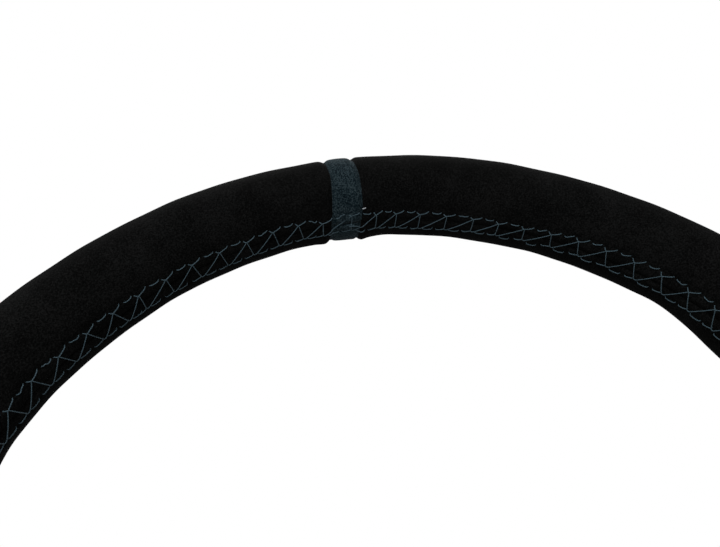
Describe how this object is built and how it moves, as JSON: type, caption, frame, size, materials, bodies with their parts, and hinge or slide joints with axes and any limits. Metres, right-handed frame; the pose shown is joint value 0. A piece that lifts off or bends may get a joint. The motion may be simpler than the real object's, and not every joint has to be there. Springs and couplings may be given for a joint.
{
  "type": "quick release steering wheel",
  "caption": "Suede-wrapped deep-dish steering wheel with a laced inner seam and a top centre band, on a ball-lock quick-release hub with a horn button.",
  "frame": {"origin": "centre of the mouth of the column bore, at the rear of the quick-release spigot", "axes": "+Y along the steering axis towards the column, so the driver is on the -Y side; +Z to the centre band at 12 o'clock; +X to 3 o'clock as the driver sees it"},
  "size_m": [0.35, 0.198, 0.35],
  "materials": {
    "spigot_steel": "satin zinc-nickel",
    "black_screw": "black oxide",
    "o_ring_rubber": "smooth",
    "hub_black": "black anodised",
    "circlip_steel": "phosphated",
    "spring_steel": "bright wire",
    "collar_blue_grey": "blue-grey anodised",
    "ball_steel": "polished",
    "spoke_black": "matt black anodised",
    "screw_steel": "dark zinc",
    "housing_plastic": "moulded",
    "contact_brass": "bright",
    "cap_plastic": "fine grained",
    "inlay_alu": "spun",
    "core_alu": "mill finish",
    "foam": "skinned foam",
    "suede_black": "suede",
    "suede_blue_grey": "suede",
    "thread_blue_grey": "waxed thread"
  },
  "bodies": {
    "column": {"column_spigot": "spigot_steel", "column_grub_screws": "black_screw", "pilot_o_ring": "o_ring_rubber"},
    "wheel": {"hub_barrel": "hub_black", "collar_circlip": "circlip_steel", "collar_spring": "spring_steel", "spoke_frame": "spoke_black", "trim_ring": "hub_black", "wheel_screws": "screw_steel", "horn_housing": "housing_plastic", "horn_contact_ring": "contact_brass", "horn_terminals": "contact_brass", "horn_spring": "spring_steel", "rim_core_ring": "core_alu", "rim_foam": "foam", "suede_upper_left": "suede_black", "suede_upper_right": "suede_black", "suede_lower_left": "suede_black", "suede_lower_right": "suede_black", "centre_band": "suede_blue_grey", "seam_upper_left": "thread_blue_grey", "seam_upper_right": "thread_blue_grey", "seam_lower_left": "thread_blue_grey", "seam_lower_right": "thread_blue_grey", "seam_band": "thread_blue_grey"},
    "collar": {"release_collar": "collar_blue_grey"},
    "horn_button": {"horn_cap": "cap_plastic", "horn_cap_ring": "inlay_alu", "horn_contact_disc": "contact_brass"},
    "ball_1": {"lock_ball_1": "ball_steel"},
    "ball_2": {"lock_ball_2": "ball_steel"},
    "ball_3": {"lock_ball_3": "ball_steel"},
    "ball_4": {"lock_ball_4": "ball_steel"},
    "ball_5": {"lock_ball_5": "ball_steel"},
    "ball_6": {"lock_ball_6": "ball_steel"}
  },
  "joints": [
    {"name": "wheel_release", "type": "slide", "parent": "column", "child": "wheel", "axis": [0, -1, 0], "range_m": [0, 0.06]},
    {"name": "collar_pull", "type": "slide", "parent": "wheel", "child": "collar", "axis": [0, -1, 0], "range_m": [0, 0.008], "stiffness_N_per_m": 2000, "springref_m": -0.01, "deforming": ["collar_spring"]},
    {"name": "horn_press", "type": "slide", "parent": "wheel", "child": "horn_button", "axis": [0, 1, 0], "range_m": [0, 0.0025], "stiffness_N_per_m": 1500, "springref_m": -0.003, "deforming": ["horn_spring"]},
    {"name": "ball_1_out", "type": "slide", "parent": "wheel", "child": "ball_1", "axis": [1, 0, 0], "range_m": [0, 0.0022]},
    {"name": "ball_2_out", "type": "slide", "parent": "wheel", "child": "ball_2", "axis": [0.5, 0, 0.866], "range_m": [0, 0.0022]},
    {"name": "ball_3_out", "type": "slide", "parent": "wheel", "child": "ball_3", "axis": [-0.5, 0, 0.866], "range_m": [0, 0.0022]},
    {"name": "ball_4_out", "type": "slide", "parent": "wheel", "child": "ball_4", "axis": [-1, 0, 0], "range_m": [0, 0.0022]},
    {"name": "ball_5_out", "type": "slide", "parent": "wheel", "child": "ball_5", "axis": [-0.5, 0, -0.866], "range_m": [0, 0.0022]},
    {"name": "ball_6_out", "type": "slide", "parent": "wheel", "child": "ball_6", "axis": [0.5, 0, -0.866], "range_m": [0, 0.0022]}
  ],
  "couplings": [
    {"joint": "ball_1_out", "follows": "collar_pull", "ratio": 0.27},
    {"joint": "ball_2_out", "follows": "collar_pull", "ratio": 0.27},
    {"joint": "ball_3_out", "follows": "collar_pull", "ratio": 0.27},
    {"joint": "ball_4_out", "follows": "collar_pull", "ratio": 0.27},
    {"joint": "ball_5_out", "follows": "collar_pull", "ratio": 0.27},
    {"joint": "ball_6_out", "follows": "collar_pull", "ratio": 0.27}
  ]
}
